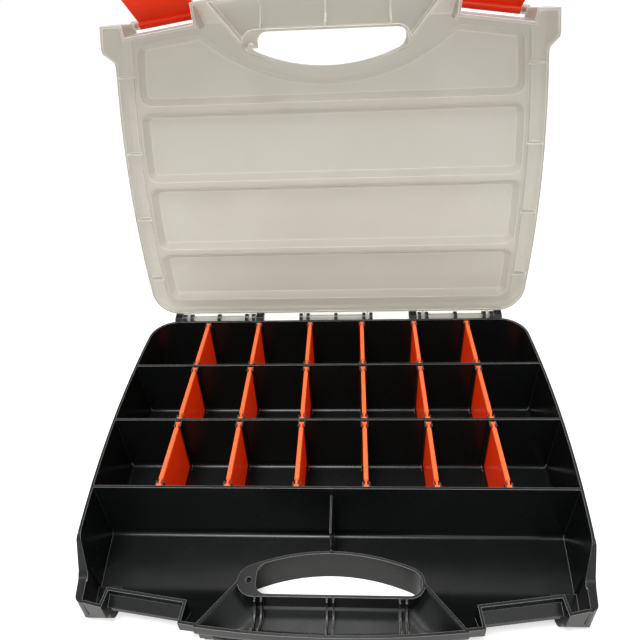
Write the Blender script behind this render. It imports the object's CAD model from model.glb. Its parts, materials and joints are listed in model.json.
import json
from math import cos, radians, sin

import bmesh
import bpy
from mathutils import Matrix, Vector
from mathutils.bvhtree import BVHTree

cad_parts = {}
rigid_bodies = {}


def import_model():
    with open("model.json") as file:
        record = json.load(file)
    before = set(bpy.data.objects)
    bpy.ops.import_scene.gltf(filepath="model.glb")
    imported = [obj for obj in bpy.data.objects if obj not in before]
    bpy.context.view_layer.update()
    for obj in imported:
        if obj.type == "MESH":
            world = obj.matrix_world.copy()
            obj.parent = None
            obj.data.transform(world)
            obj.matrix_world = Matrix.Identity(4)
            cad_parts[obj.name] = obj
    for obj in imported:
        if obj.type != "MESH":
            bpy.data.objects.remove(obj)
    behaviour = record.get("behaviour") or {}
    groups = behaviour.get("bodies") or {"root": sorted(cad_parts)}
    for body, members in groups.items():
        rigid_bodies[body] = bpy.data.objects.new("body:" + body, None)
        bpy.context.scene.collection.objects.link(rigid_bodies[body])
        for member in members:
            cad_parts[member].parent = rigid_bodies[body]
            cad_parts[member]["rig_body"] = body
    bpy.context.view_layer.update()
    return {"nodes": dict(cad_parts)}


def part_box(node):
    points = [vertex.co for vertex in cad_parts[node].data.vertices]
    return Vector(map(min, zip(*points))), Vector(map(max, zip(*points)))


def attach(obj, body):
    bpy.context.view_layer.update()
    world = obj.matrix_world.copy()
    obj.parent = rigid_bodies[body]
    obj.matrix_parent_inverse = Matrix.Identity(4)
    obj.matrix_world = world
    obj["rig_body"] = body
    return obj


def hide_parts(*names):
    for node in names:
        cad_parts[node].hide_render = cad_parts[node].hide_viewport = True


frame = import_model()


# Base tray: the black case that stands on the table and carries everything else.
# Real one: black polypropylene, injection moulded in one shot with its cross walls,
# divider slots, catches, hinge hooks and the lower half of the handle.
MM_PER_M = 1000
FULL_LEVEL = 255


def linear_colour(hex_code):
    """An sRGB hex colour as the linear colour, with full alpha, that Blender's sockets take."""
    levels = [int(hex_code[n:n + 2], 16) / FULL_LEVEL for n in (1, 3, 5)]
    # These are the constants of the sRGB curve.
    return [*(v / 12.92 if v <= 0.04045 else ((v + 0.055) / 1.055) ** 2.4 for v in levels), 1.0]


def new_material(name):
    """An empty node material and its output node."""
    material = bpy.data.materials.new(name)
    material.use_nodes = True
    material.node_tree.nodes.clear()
    return material, material.node_tree.nodes.new("ShaderNodeOutputMaterial")


def add_node(tree, kind, settings=None, values=None, links=None):
    """Adds a node, sets its settings and socket values, and links its inputs."""
    node = tree.nodes.new(kind)
    for name, value in (settings or {}).items():
        setattr(node, name, value)
    for name, value in (values or {}).items():
        node.inputs[name].default_value = value
    for name, socket in (links or {}).items():
        tree.links.new(socket, node.inputs[name])
    return node


def edge_mask(tree, edge_mm, sharp, soft):
    """A rounded normal, and a mask that is 1 on edges and 0 on flats.

    sharp and soft are the cosines of the turn, from the face's own normal, where the mask is full and gone.
    """
    rounded = add_node(tree, "ShaderNodeBevel", {"samples": 8}, {"Radius": edge_mm / MM_PER_M})
    face = add_node(tree, "ShaderNodeNewGeometry")
    turn = add_node(
        tree, "ShaderNodeVectorMath", {"operation": "DOT_PRODUCT"}, None,
        {0: rounded.outputs["Normal"], 1: face.outputs["Normal"]},
    )
    return rounded, add_node(
        tree, "ShaderNodeMapRange", None,
        {"From Min": sharp, "From Max": soft, "To Min": 1.0, "To Max": 0.0},
        {"Value": turn.outputs["Value"]},
    )


def dress(node_names, material):
    """Gives each of the named CAD nodes one material."""
    for name in node_names:
        mesh = frame["nodes"][name].data
        mesh.materials.clear()
        mesh.materials.append(material)


# Black polypropylene, moulded against a spark-eroded steel tool: a fine even grain that turns
# the softbox into a broad dull sheen, and edges that catch the light where they look up.
BLACK_CASE = "#0e1110"
CASE_EDGE = "#a4a7a1"
CASE_EDGE_MM = 0.45
CASE_GRAIN_MM = 0.9  # the real grain is about 0.1 mm, drawn coarser so that it shows
CASE_GRAIN_DEPTH_MM = 0.12
CASE_FLOW_MM = 45

case_plastic, case_output = new_material("moulded_black_polypropylene")
tree = case_plastic.node_tree
place = add_node(tree, "ShaderNodeTexCoord")
edges, on_edge = edge_mask(tree, CASE_EDGE_MM, sharp=0.86, soft=0.98)
grain = add_node(
    tree, "ShaderNodeTexNoise", None,
    {"Scale": MM_PER_M / CASE_GRAIN_MM, "Detail": 2.0, "Roughness": 0.6},
    {"Vector": place.outputs["Object"]},
)
flow = add_node(
    tree, "ShaderNodeTexNoise", None,
    {"Scale": MM_PER_M / CASE_FLOW_MM, "Detail": 3.0, "Roughness": 0.55},
    {"Vector": place.outputs["Object"]},
)
grain_bump = add_node(
    tree, "ShaderNodeBump", None, {"Strength": 0.12, "Distance": CASE_GRAIN_DEPTH_MM / MM_PER_M},
    {"Height": grain.outputs["Fac"], "Normal": edges.outputs["Normal"]},
)
sheen = add_node(
    tree, "ShaderNodeMapRange", None,
    {"From Min": 0.3, "From Max": 0.7, "To Min": 0.22, "To Max": 0.3},
    {"Value": flow.outputs["Fac"]},
)
edge_parts = add_node(tree, "ShaderNodeSeparateXYZ", None, None, {"Vector": edges.outputs["Normal"]})
looks_up = add_node(
    tree, "ShaderNodeMapRange", {"interpolation_type": "SMOOTHSTEP"},
    {"From Min": 0.15, "From Max": 0.6, "To Min": 0.12, "To Max": 1.0},
    {"Value": edge_parts.outputs["Z"]},
)
upper_edge = add_node(
    tree, "ShaderNodeMath", {"operation": "MULTIPLY"}, None,
    {0: on_edge.outputs["Result"], 1: looks_up.outputs["Result"]},
)
polish = add_node(
    tree, "ShaderNodeMix", {"data_type": "RGBA"},
    {"A": linear_colour(BLACK_CASE), "B": linear_colour(CASE_EDGE)},
    {"Factor": upper_edge.outputs[0]},
)
case_shader = add_node(
    tree, "ShaderNodeBsdfPrincipled", None, {"IOR": 1.49, "Specular IOR Level": 0.32},
    {"Base Color": polish.outputs["Result"], "Roughness": sheen.outputs["Result"],
     "Normal": grain_bump.outputs["Normal"]},
)
tree.links.new(case_shader.outputs[0], case_output.inputs["Surface"])
dress(["base_tray"], case_plastic)


# Handle scoops: the two ends of the trough inside the lower half of the handle.
# Real ones: part of the black case's moulding, a smooth hollow that runs down from the slanted
# flank at each end into the trough, with its edge flush with the rim.
RIM_TOP_MM = 30.5
TROUGH_FLOOR_MM = 15.0
FLANK_REAR_MM, FLANK_FRONT_MM = (66.0, -117.0), (92.0, -150.0)
FLANK_WALL_MM = 2.0
SCOOP_RUN_MM = 20.0
SCOOP_BLEND_MM = 4.0
SCOOP_SINK_MM = 0.05
SCOOP_STEP_MM = 0.7
SCOOP_INNER_X_MM = 53.4
GRID_REAR_MARGIN_MM, GRID_FRONT_MARGIN_MM = 2, 5
GRID_REAR_Y_MM = FLANK_REAR_MM[1] + GRID_REAR_MARGIN_MM
GRID_FRONT_Y_MM = FLANK_FRONT_MM[1] - GRID_FRONT_MARGIN_MM
SCOOP_FOOT_DEPTH_MM = 1
WALL_TOP_BAND_MM = 1
OVERLAP_STEPS = 2  # how many steps of the grid run on into the walls around the pocket
RAY_START_MM = 40


def scoop_height(distance):
    """Height of the scoop at a distance from the flank's outer edge, in millimetres."""
    share = min(max((distance - FLANK_WALL_MM) / SCOOP_RUN_MM, 0.0), 1.0)
    return RIM_TOP_MM - (RIM_TOP_MM - TROUGH_FLOOR_MM) * (1 - (1 - share) ** 2)


def smooth_max(a, b, blend):
    """The larger of two heights, lifted by a quarter of the blend where they meet."""
    nearness = max(blend - abs(a - b), 0.0) / blend
    return max(a, b) + nearness * nearness * blend / 4


def sample_pocket(side):
    """The tray's height on a grid over one pocket: {(column, line): (x, y, distance, height)}."""
    tray = frame["nodes"]["base_tray"].data
    surface = BVHTree.FromPolygons([v.co for v in tray.vertices], [p.vertices for p in tray.polygons])
    run = (Vector(FLANK_FRONT_MM) - Vector(FLANK_REAR_MM)).normalized()
    inward = Vector((run.y, -run.x))
    columns = int((FLANK_FRONT_MM[0] - SCOOP_INNER_X_MM) / SCOOP_STEP_MM)
    lines = int((GRID_REAR_Y_MM - GRID_FRONT_Y_MM) / SCOOP_STEP_MM)
    points = {}
    for column in range(columns + 1):
        for line in range(lines + 1):
            x = SCOOP_INNER_X_MM + column * SCOOP_STEP_MM
            y = GRID_REAR_Y_MM - line * SCOOP_STEP_MM
            distance = (Vector((x, y)) - Vector(FLANK_REAR_MM)).dot(inward)
            start = Vector((side * x, y, RAY_START_MM)) / MM_PER_M
            hit = surface.ray_cast(start, Vector((0, 0, -1)))[0]
            if hit is not None and distance >= SCOOP_STEP_MM / 2:
                points[column, line] = (x, y, distance, hit.z * MM_PER_M)
    return points


def scoop(name, side):
    """One scoop, draped over the pocket that it fills, on the side with that sign of X."""
    points = sample_pocket(side)
    inside = {key for key, point in points.items() if point[3] < RIM_TOP_MM - WALL_TOP_BAND_MM}
    shifts = range(-OVERLAP_STEPS, OVERLAP_STEPS + 1)
    near = {(column + a, line + b) for column, line in inside for a in shifts for b in shifts}
    work = bmesh.new()
    corners = {}
    for key, (x, y, distance, level) in points.items():
        if key not in near:
            continue
        z = scoop_height(distance)
        if key in inside:
            z = smooth_max(z, level, SCOOP_BLEND_MM) - SCOOP_SINK_MM
        if distance < FLANK_WALL_MM:
            z = RIM_TOP_MM + SCOOP_SINK_MM
        corners[key] = work.verts.new((side * x / MM_PER_M, y / MM_PER_M, z / MM_PER_M))
    for column, line in corners:
        ring = [(column, line), (column + 1, line), (column + 1, line + 1), (column, line + 1)]
        if all(key in corners for key in ring):
            work.faces.new([corners[key] for key in ring]).smooth = True
    loose = [v for v in work.verts if not v.link_faces]
    bmesh.ops.delete(work, geom=loose, context="VERTS")
    made = bmesh.ops.extrude_face_region(work, geom=list(work.faces), use_keep_orig=True)
    for part in made["geom"]:
        if isinstance(part, bmesh.types.BMVert):
            part.co.z = (TROUGH_FLOOR_MM - SCOOP_FOOT_DEPTH_MM) / MM_PER_M
    bmesh.ops.recalc_face_normals(work, faces=work.faces)
    mesh = bpy.data.meshes.new(name)
    work.to_mesh(mesh)
    work.free()
    mesh.materials.append(case_plastic)
    piece = bpy.data.objects.new(name, mesh)
    bpy.context.collection.objects.link(piece)
    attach(piece, "base_tray")


scoop("handle_scoop_left", -1)
scoop("handle_scoop_right", 1)


# Dividers: eighteen loose plates that drop into the tray's slots.
# Real ones: red polypropylene, 1.5 mm thick, with a flange down each end that runs in the slot and
# a thick rounded bead along the top between the flanges, bright where light runs up inside.
PLATE_MM = 1.5
FLANGE_WIDTH_MM, FLANGE_DEPTH_MM = 3.6, 1.7
BEAD_WIDTH_MM, BEAD_HEIGHT_MM, BEAD_ROUND_MM = 3.6, 2.6, 1.2
BEAD_START_MM = 6.5
NECK_DROP_MM = 0.5
FOOT_ROUND_MM = 3.5
ARC_STEPS = 6
MOULD_EDGE_MM = 0.25
MOULD_EDGE_SEGMENTS = 2
MOULD_EDGE_ANGLE = 50
DIVIDER_RED = "#e4360a"
DIVIDER_GLOW = "#ff6a3a"
GLOW_LOW_MM, GLOW_HIGH_MM = 56.5, 59.5
DIVIDER_WAVE_MM = 18
DIVIDER_WAVE_DEPTH_MM = 0.4


def prism(name, outline, low, high, lift):
    """A closed mesh: outline, a list of 2-D points, drawn out from low to high by lift(a, b, level)."""
    mesh = bpy.data.meshes.new(name)
    count = len(outline)
    points = [lift(a, b, level) for level in (low, high) for a, b in outline]
    faces = [tuple(range(count))[::-1], tuple(range(count, 2 * count))]
    faces += [(n, (n + 1) % count, count + (n + 1) % count, count + n) for n in range(count)]
    mesh.from_pydata(points, [], faces)
    scene_object = bpy.data.objects.new(name, mesh)
    bpy.context.collection.objects.link(scene_object)
    return scene_object


def turn_faces_out(scene_object):
    """Makes every face of a closed mesh look outwards."""
    work = bmesh.new()
    work.from_mesh(scene_object.data)
    bmesh.ops.recalc_face_normals(work, faces=work.faces)
    work.to_mesh(scene_object.data)
    work.free()


def combine(scene_object, operation, tool):
    """Adds an exact boolean with another object."""
    step = scene_object.modifiers.new(tool.name, "BOOLEAN")
    step.operation, step.solver, step.object = operation, "EXACT", tool


def apply_modifiers(scene_object):
    """Takes the evaluated mesh over as the object's own and removes its modifiers."""
    seen = scene_object.evaluated_get(bpy.context.evaluated_depsgraph_get())
    mesh = bpy.data.meshes.new_from_object(seen)
    scene_object.modifiers.clear()
    scene_object.data = mesh


def divider_piece(length, height):
    """One divider, centred on the origin in X and Y, with its foot at height zero."""
    plate, flange_width, flange_depth = (v / MM_PER_M for v in (PLATE_MM, FLANGE_WIDTH_MM, FLANGE_DEPTH_MM))
    width, depth, corner = (v / MM_PER_M for v in (BEAD_WIDTH_MM, BEAD_HEIGHT_MM, BEAD_ROUND_MM))
    end = length / 2
    arc = [radians(90 * n / ARC_STEPS) for n in range(ARC_STEPS + 1)]
    # Seen from above: the plate with a flange at each end.
    quarter = [
        (plate / 2, end - flange_depth), (flange_width / 2, end - flange_depth), (flange_width / 2, end),
    ]
    plan = quarter + [(-x, y) for x, y in quarter[::-1]]
    plan += [(-x, -y) for x, y in quarter] + [(x, -y) for x, y in quarter[::-1]]
    body = prism("divider", plan, 0, height - NECK_DROP_MM / MM_PER_M, lambda a, b, level: (a, b, level))
    # Seen along the divider: the bead with its rounded top.
    right = [(width / 2 - corner + corner * cos(t), height - corner + corner * sin(t)) for t in arc]
    profile = [(width / 2, height - depth)] + right
    profile += [(-x, z) for x, z in profile[::-1]]
    half_bead = end - BEAD_START_MM / MM_PER_M
    bead = prism("bead", profile, -half_bead, half_bead, lambda a, b, level: (a, level, b))
    # Seen from the side: rounded lower corners, as the tray's floor is rounded too.
    foot = FOOT_ROUND_MM / MM_PER_M
    corner_points = [(end - foot + foot * sin(t), foot - foot * cos(t)) for t in arc]
    side_view = [(end, 2 * height)] + corner_points[::-1]
    side_view += [(-y, z) for y, z in side_view[::-1]]
    outline = prism("outline", side_view, -width, width, lambda a, b, level: (level, a, b))
    for piece in (body, bead, outline):
        turn_faces_out(piece)
    combine(body, "INTERSECT", outline)
    combine(body, "UNION", bead)
    soften = body.modifiers.new("soften", "BEVEL")
    soften.width, soften.segments = MOULD_EDGE_MM / MM_PER_M, MOULD_EDGE_SEGMENTS
    soften.limit_method, soften.angle_limit = "ANGLE", radians(MOULD_EDGE_ANGLE)
    apply_modifiers(body)
    bpy.data.objects.remove(bead)
    bpy.data.objects.remove(outline)
    return body


divider_plastic, divider_output = new_material("moulded_red_polypropylene")
tree = divider_plastic.node_tree
place = add_node(tree, "ShaderNodeTexCoord")
height = add_node(tree, "ShaderNodeSeparateXYZ", None, None, {"Vector": place.outputs["Object"]})
glow = add_node(
    tree, "ShaderNodeMapRange", {"interpolation_type": "SMOOTHSTEP"},
    {"From Min": GLOW_LOW_MM / MM_PER_M, "From Max": GLOW_HIGH_MM / MM_PER_M, "To Min": 0.0, "To Max": 1.0},
    {"Value": height.outputs["Z"]},
)
tint = add_node(
    tree, "ShaderNodeMix", {"data_type": "RGBA"},
    {"A": linear_colour(DIVIDER_RED), "B": linear_colour(DIVIDER_GLOW)},
    {"Factor": glow.outputs["Result"]},
)
wave = add_node(
    tree, "ShaderNodeTexNoise", None, {"Scale": MM_PER_M / DIVIDER_WAVE_MM, "Detail": 2.0},
    {"Vector": place.outputs["Object"]},
)
wave_bump = add_node(
    tree, "ShaderNodeBump", None, {"Strength": 0.08, "Distance": DIVIDER_WAVE_DEPTH_MM / MM_PER_M},
    {"Height": wave.outputs["Fac"]},
)
divider_shader = add_node(
    tree, "ShaderNodeBsdfPrincipled", None,
    {"Roughness": 0.3, "IOR": 1.49, "Specular IOR Level": 0.3, "Subsurface Weight": 0.35,
     "Subsurface Radius": (1.0, 0.12, 0.04), "Subsurface Scale": 0.003, "Emission Strength": 0.22},
    {"Base Color": tint.outputs["Result"], "Emission Color": tint.outputs["Result"],
     "Normal": wave_bump.outputs["Normal"]},
)
tree.links.new(divider_shader.outputs[0], divider_output.inputs["Surface"])

first_low, first_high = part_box("divider_row1_1")
pattern = divider_piece(first_high.y - first_low.y, first_high.z - first_low.z)
pattern.data.materials.append(divider_plastic)
for row in (1, 2, 3):
    for column in range(1, 7):
        node = f"divider_row{row}_{column}"
        low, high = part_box(node)
        mesh = pattern.data.copy()
        mesh.transform(Matrix.Translation(((low.x + high.x) / 2, (low.y + high.y) / 2, low.z)))
        divider = bpy.data.objects.new(f"red_{node}", mesh)
        bpy.context.collection.objects.link(divider)
        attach(divider, frame["nodes"][node]["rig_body"])
        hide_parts(node)
bpy.data.objects.remove(pattern)


# Lid: one clear shell with four raised panels, hooked on the tray's rear edge.
# Real one: clear polypropylene, moulded 2 mm thick and polished, slightly milky and warm,
# so that a white wall behind it shows through as a light beige, with pale lines at its edges.
LID_TINT = "#dedad3"
LID_MILK = "#d9d5cb"
LID_EDGE = "#fbf8f2"
LID_EDGE_MM = 0.7
LID_RIPPLE_MM = 60
LID_RIPPLE_DEPTH_MM = 0.6
LID_CLOUD_MM = 110

lid_plastic, lid_output = new_material("polished_clear_polypropylene")
tree = lid_plastic.node_tree
place = add_node(tree, "ShaderNodeTexCoord")
ripple = add_node(
    tree, "ShaderNodeTexNoise", None, {"Scale": MM_PER_M / LID_RIPPLE_MM, "Detail": 1.0},
    {"Vector": place.outputs["Object"]},
)
ripple_bump = add_node(
    tree, "ShaderNodeBump", None, {"Strength": 0.05, "Distance": LID_RIPPLE_DEPTH_MM / MM_PER_M},
    {"Height": ripple.outputs["Fac"]},
)
rippled = {"Normal": ripple_bump.outputs["Normal"]}
clear_shader = add_node(
    tree, "ShaderNodeBsdfPrincipled", None,
    {"Base Color": linear_colour(LID_TINT), "Roughness": 0.3, "IOR": 1.3, "Transmission Weight": 1.0,
     "Coat Weight": 0.5, "Coat Roughness": 0.08},
    rippled,
)
back_light = add_node(tree, "ShaderNodeBsdfTranslucent", None, {"Color": linear_colour(LID_MILK)}, rippled)
front_light = add_node(tree, "ShaderNodeBsdfDiffuse", None, {"Color": linear_colour(LID_MILK)}, rippled)
milk_shader = add_node(
    tree, "ShaderNodeMixShader", None, {"Fac": 0.35},
    {1: back_light.outputs[0], 2: front_light.outputs[0]},
)
cloud = add_node(
    tree, "ShaderNodeTexNoise", None,
    {"Scale": MM_PER_M / LID_CLOUD_MM, "Detail": 3.0, "Roughness": 0.6},
    {"Vector": place.outputs["Object"]},
)
milkiness = add_node(
    tree, "ShaderNodeMapRange", None,
    {"From Min": 0.35, "From Max": 0.65, "To Min": 0.33, "To Max": 0.47},
    {"Value": cloud.outputs["Fac"]},
)
shell_shader = add_node(
    tree, "ShaderNodeMixShader", None, None,
    {"Fac": milkiness.outputs["Result"], 1: clear_shader.outputs[0], 2: milk_shader.outputs[0]},
)
rounded, on_edge = edge_mask(tree, LID_EDGE_MM, sharp=0.88, soft=0.985)
edge_level = add_node(
    tree, "ShaderNodeMath", {"operation": "MULTIPLY"}, {1: 0.7}, {0: on_edge.outputs["Result"]},
)
edge_light = add_node(
    tree, "ShaderNodeBsdfPrincipled", None,
    {"Base Color": linear_colour(LID_EDGE), "Roughness": 0.2, "Emission Color": linear_colour(LID_EDGE),
     "Emission Strength": 0.35},
    {"Normal": rounded.outputs["Normal"]},
)
lid_shader = add_node(
    tree, "ShaderNodeMixShader", None, None,
    {"Fac": edge_level.outputs[0], 1: shell_shader.outputs[0], 2: edge_light.outputs[0]},
)
tree.links.new(lid_shader.outputs[0], lid_output.inputs["Surface"])
dress(["lid"], lid_plastic)


# Latches: two snap latches that turn on pins at the lid's front edge.
# Real ones: red-orange polypropylene, slightly see-through, a round barrel with a flat
# plate below it that ends in a hook and a finger lip.
LATCH_RED = "#f03408"
LATCH_FLOW_MM = 12
LATCH_FLOW_DEPTH_MM = 0.3

latch_plastic, latch_output = new_material("moulded_orange_polypropylene")
tree = latch_plastic.node_tree
place = add_node(tree, "ShaderNodeTexCoord")
flow = add_node(
    tree, "ShaderNodeTexNoise", None, {"Scale": MM_PER_M / LATCH_FLOW_MM, "Detail": 2.0},
    {"Vector": place.outputs["Object"]},
)
flow_bump = add_node(
    tree, "ShaderNodeBump", None, {"Strength": 0.06, "Distance": LATCH_FLOW_DEPTH_MM / MM_PER_M},
    {"Height": flow.outputs["Fac"]},
)
latch_shader = add_node(
    tree, "ShaderNodeBsdfPrincipled", None,
    {"Base Color": linear_colour(LATCH_RED), "Roughness": 0.22, "IOR": 1.49, "Specular IOR Level": 0.35,
     "Subsurface Weight": 0.4, "Subsurface Radius": (1.0, 0.2, 0.05), "Subsurface Scale": 0.004,
     "Emission Color": linear_colour(LATCH_RED), "Emission Strength": 0.1},
    {"Normal": flow_bump.outputs["Normal"]},
)
tree.links.new(latch_shader.outputs[0], latch_output.inputs["Surface"])
dress(["left_latch", "right_latch"], latch_plastic)


# Studio: a matt table that the camera sees white and that keeps the box's shadow, in a white room.
# The lamps are a large softbox above the box, a weaker one in front of it and a small one high
# behind it, which draws the sheen in the handle's trough.
TABLE_REACH = 4
TABLE_WHITE = "#e9e8e5"
PURE_WHITE = "#ffffff"
TABLE_LIFT = 0.5
ROOM_LIGHT, ROOM_SEEN = 0.55, 1.0
LAMPS = (  # name, place, point aimed at, width in metres, power in watts
    ("softbox_above", (-0.3, -0.5, 1.9), (0.0, 0.0, 0.1), 0.8, 34.0),
    ("softbox_front", (0.7, -1.7, 1.1), (0.0, 0.0, 0.1), 1.2, 6.0),
    ("softbox_behind", (-0.1, 0.75, 1.9), (0.0, -0.1, 0.0), 0.35, 3.0),
)

table_mesh = bpy.data.meshes.new("table")
table_corners = [(x * TABLE_REACH, y * TABLE_REACH, 0) for x, y in ((-1, -1), (1, -1), (1, 1), (-1, 1))]
table_mesh.from_pydata(table_corners, [], [(0, 1, 2, 3)])
table = bpy.data.objects.new("table", table_mesh)
bpy.context.collection.objects.link(table)
table_paint, table_output = new_material("matt_white_table")
tree = table_paint.node_tree
matt = add_node(tree, "ShaderNodeBsdfDiffuse", None, {"Color": linear_colour(TABLE_WHITE)})
lift = add_node(tree, "ShaderNodeEmission", None, {"Color": linear_colour(PURE_WHITE)})
rays = add_node(tree, "ShaderNodeLightPath")
lift_level = add_node(
    tree, "ShaderNodeMath", {"operation": "MULTIPLY"}, {1: TABLE_LIFT}, {0: rays.outputs["Is Camera Ray"]},
)
tree.links.new(lift_level.outputs[0], lift.inputs["Strength"])
seen = add_node(tree, "ShaderNodeAddShader", None, None, {0: matt.outputs[0], 1: lift.outputs[0]})
tree.links.new(seen.outputs[0], table_output.inputs["Surface"])
table_mesh.materials.append(table_paint)

for name, spot, aim, width, watts in LAMPS:
    lamp = bpy.data.lights.new(name, "AREA")
    lamp.size = width
    lamp.energy = watts
    lamp_object = bpy.data.objects.new(name, lamp)
    lamp_object.location = spot
    lamp_object.rotation_euler = (Vector(aim) - Vector(spot)).to_track_quat("-Z", "Y").to_euler()
    bpy.context.collection.objects.link(lamp_object)

world = bpy.data.worlds.new("white_room")
bpy.context.scene.world = world
world.use_nodes = True
tree = world.node_tree
tree.nodes.clear()
rays = add_node(tree, "ShaderNodeLightPath")
seen_or_mirrored = add_node(
    tree, "ShaderNodeMath", {"operation": "MAXIMUM"}, None,
    {0: rays.outputs["Is Camera Ray"], 1: rays.outputs["Is Glossy Ray"]},
)
seen_through = add_node(
    tree, "ShaderNodeMath", {"operation": "MAXIMUM"}, None,
    {0: seen_or_mirrored.outputs[0], 1: rays.outputs["Is Transmission Ray"]},
)
level = add_node(
    tree, "ShaderNodeMapRange", None, {"To Min": ROOM_LIGHT, "To Max": ROOM_SEEN},
    {"Value": seen_through.outputs[0]},
)
sky = add_node(
    tree, "ShaderNodeBackground", None, {"Color": linear_colour(PURE_WHITE)},
    {"Strength": level.outputs["Result"]},
)
add_node(tree, "ShaderNodeOutputWorld", None, None, {"Surface": sky.outputs[0]})


# Camera: placed by fitting the regular grid of bins to the photograph.
# The angles turn it left, down and about its own axis.
YAW, PITCH, ROLL = radians(4.29), radians(35.51), radians(-3.26)
CAMERA_PLACE = (0.01965, -0.3426, 0.4359)
SENSOR_MM, LENS_MM = 36.0, 33.58
SHIFT_X, SHIFT_Y = 0.0027, -0.0317

ahead = Vector((-sin(YAW) * cos(PITCH), cos(YAW) * cos(PITCH), -sin(PITCH)))
level_right = Vector((cos(YAW), sin(YAW), 0))
level_up = level_right.cross(ahead)
right = cos(ROLL) * level_right + sin(ROLL) * level_up
up = -sin(ROLL) * level_right + cos(ROLL) * level_up
camera_data = bpy.data.cameras.new("camera")
camera_data.sensor_width = SENSOR_MM
camera_data.lens = LENS_MM
camera_data.shift_x, camera_data.shift_y = SHIFT_X, SHIFT_Y
camera = bpy.data.objects.new("camera", camera_data)
bpy.context.collection.objects.link(camera)
camera.matrix_world = Matrix((
    (right.x, up.x, -ahead.x, CAMERA_PLACE[0]),
    (right.y, up.y, -ahead.y, CAMERA_PLACE[1]),
    (right.z, up.z, -ahead.z, CAMERA_PLACE[2]),
    (0, 0, 0, 1),
))
bpy.context.scene.camera = camera
bpy.context.scene.view_settings.view_transform = "Standard"
